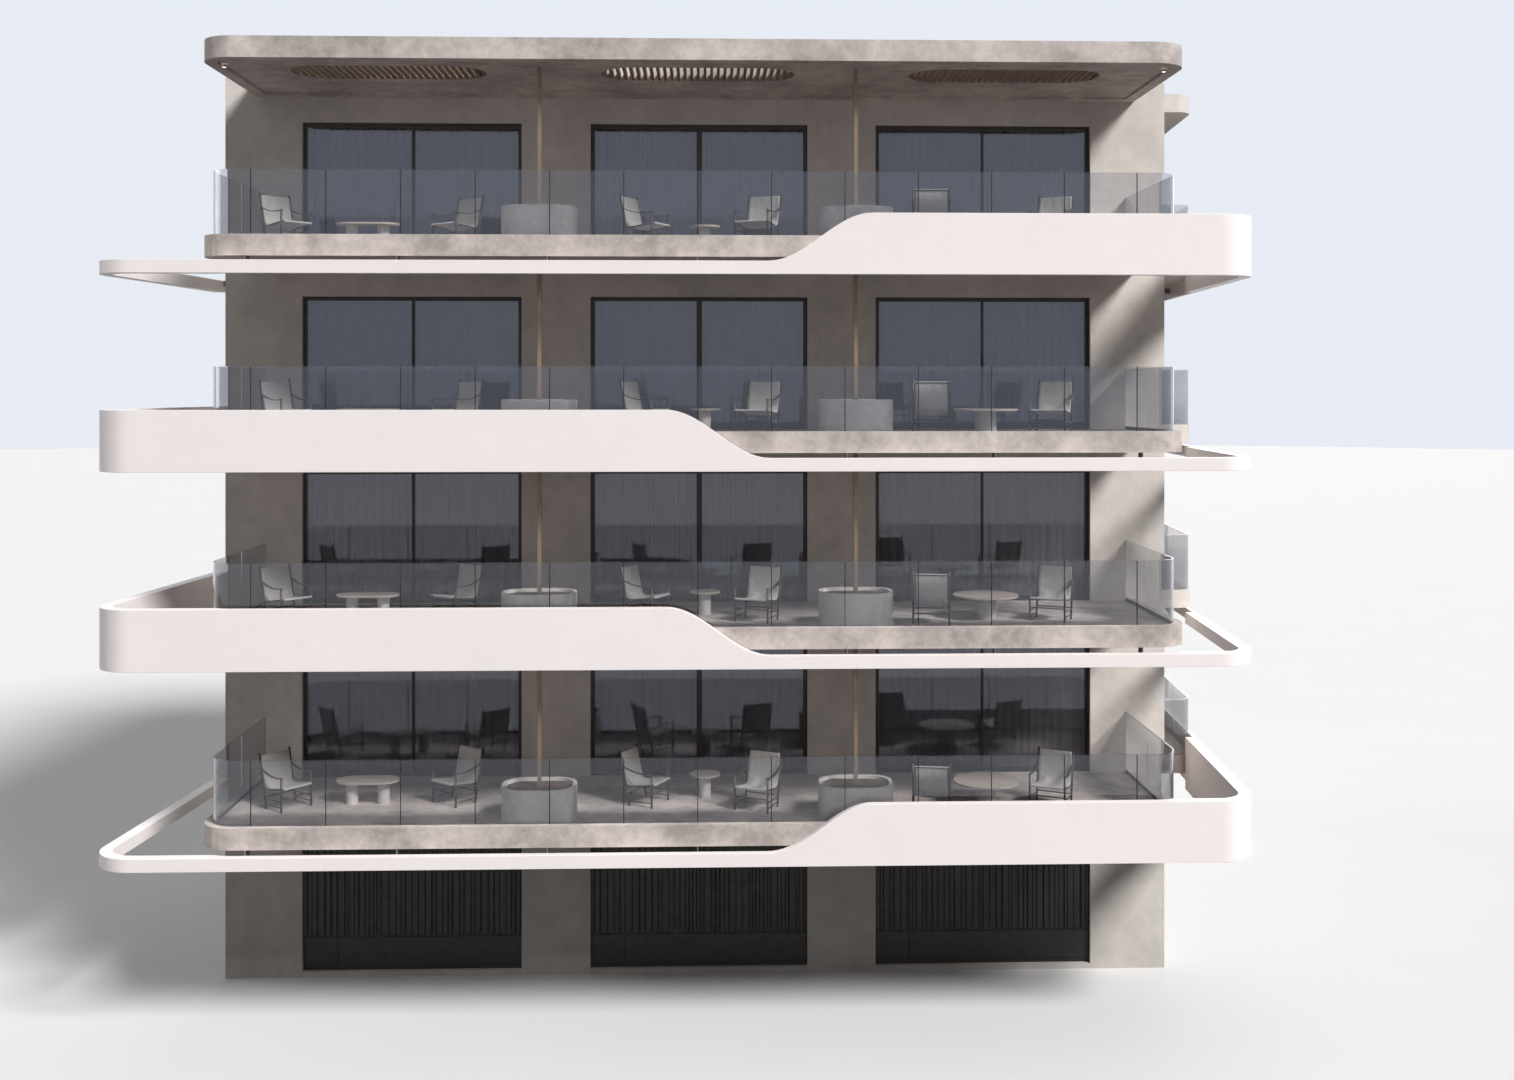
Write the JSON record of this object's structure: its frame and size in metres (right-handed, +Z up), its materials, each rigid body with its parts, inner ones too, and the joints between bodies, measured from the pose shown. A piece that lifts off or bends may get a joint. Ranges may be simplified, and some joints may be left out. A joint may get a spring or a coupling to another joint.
{
  "type": "apartment block",
  "caption": "Modern apartment block with garage fronts below and full-width balconies edged by white ribbon bands that swell from low to high along a curve.",
  "frame": {"origin": "on the ground, halfway between the front wall and the rear wall, on the middle line of the front", "axes": "+X to the right along the front, +Y from the front to the rear, +Z up"},
  "size_m": [19.2552, 15.48, 16],
  "materials": {
    "concrete": "smooth cast concrete, faintly mottled",
    "plaster": "fine matt plaster",
    "white_band": "smooth matt white coating",
    "tub_stone": "smooth pale cast stone",
    "dark_metal": "satin dark bronze coating",
    "door_metal": "satin dark coating on fluted sheet",
    "post_metal": "satin tan bronze coating",
    "bracket_steel": "matt grey coating",
    "tinted_glass": "clear with a grey-blue tint",
    "window_glass": "reflective dark glazing",
    "slat_wood": "pale painted timber",
    "curtain_cloth": "light woven cloth",
    "rail_aluminium": "white satin",
    "chair_metal": "satin dark bronze coating",
    "sling_cloth": "pale grey outdoor weave",
    "table_stone": "smooth pale stone"
  },
  "bodies": {
    "root": {"ground_slab": "concrete", "ground_front_piers": "plaster", "front_piers": "plaster", "front_lintels": "plaster", "left_wall": "plaster", "right_wall": "plaster", "right_wall_spandrels": "plaster", "rear_piers": "plaster", "rear_bands": "plaster", "garage_doors": "door_metal", "garage_side_panels": "door_metal", "roof_canopy": "concrete", "canopy_slats": "slat_wood", "ribbon_brackets": "bracket_steel", "rear_window_frames": "dark_metal", "rear_window_glass": "window_glass", "side_balconies": "concrete", "side_balustrades": "tinted_glass", "side_door_frames": "dark_metal", "side_door_glass": "window_glass", "planters": "tub_stone", "divider_posts": "post_metal", "curtains": "curtain_cloth", "curtain_rails": "rail_aluminium", "window_glass": "window_glass", "chair_frames": "chair_metal", "chair_slings": "sling_cloth", "table_tops": "table_stone", "table_drums": "tub_stone", "floor_slab_1": "concrete", "ribbon_1": "white_band", "balustrade_1": "tinted_glass", "window_frames_1": "dark_metal", "floor_slab_2": "concrete", "ribbon_2": "white_band", "balustrade_2": "tinted_glass", "window_frames_2": "dark_metal", "floor_slab_3": "concrete", "ribbon_3": "white_band", "balustrade_3": "tinted_glass", "window_frames_3": "dark_metal", "floor_slab_4": "concrete", "ribbon_4": "white_band", "balustrade_4": "tinted_glass", "window_frames_4": "dark_metal"}
  },
  "joints": []
}
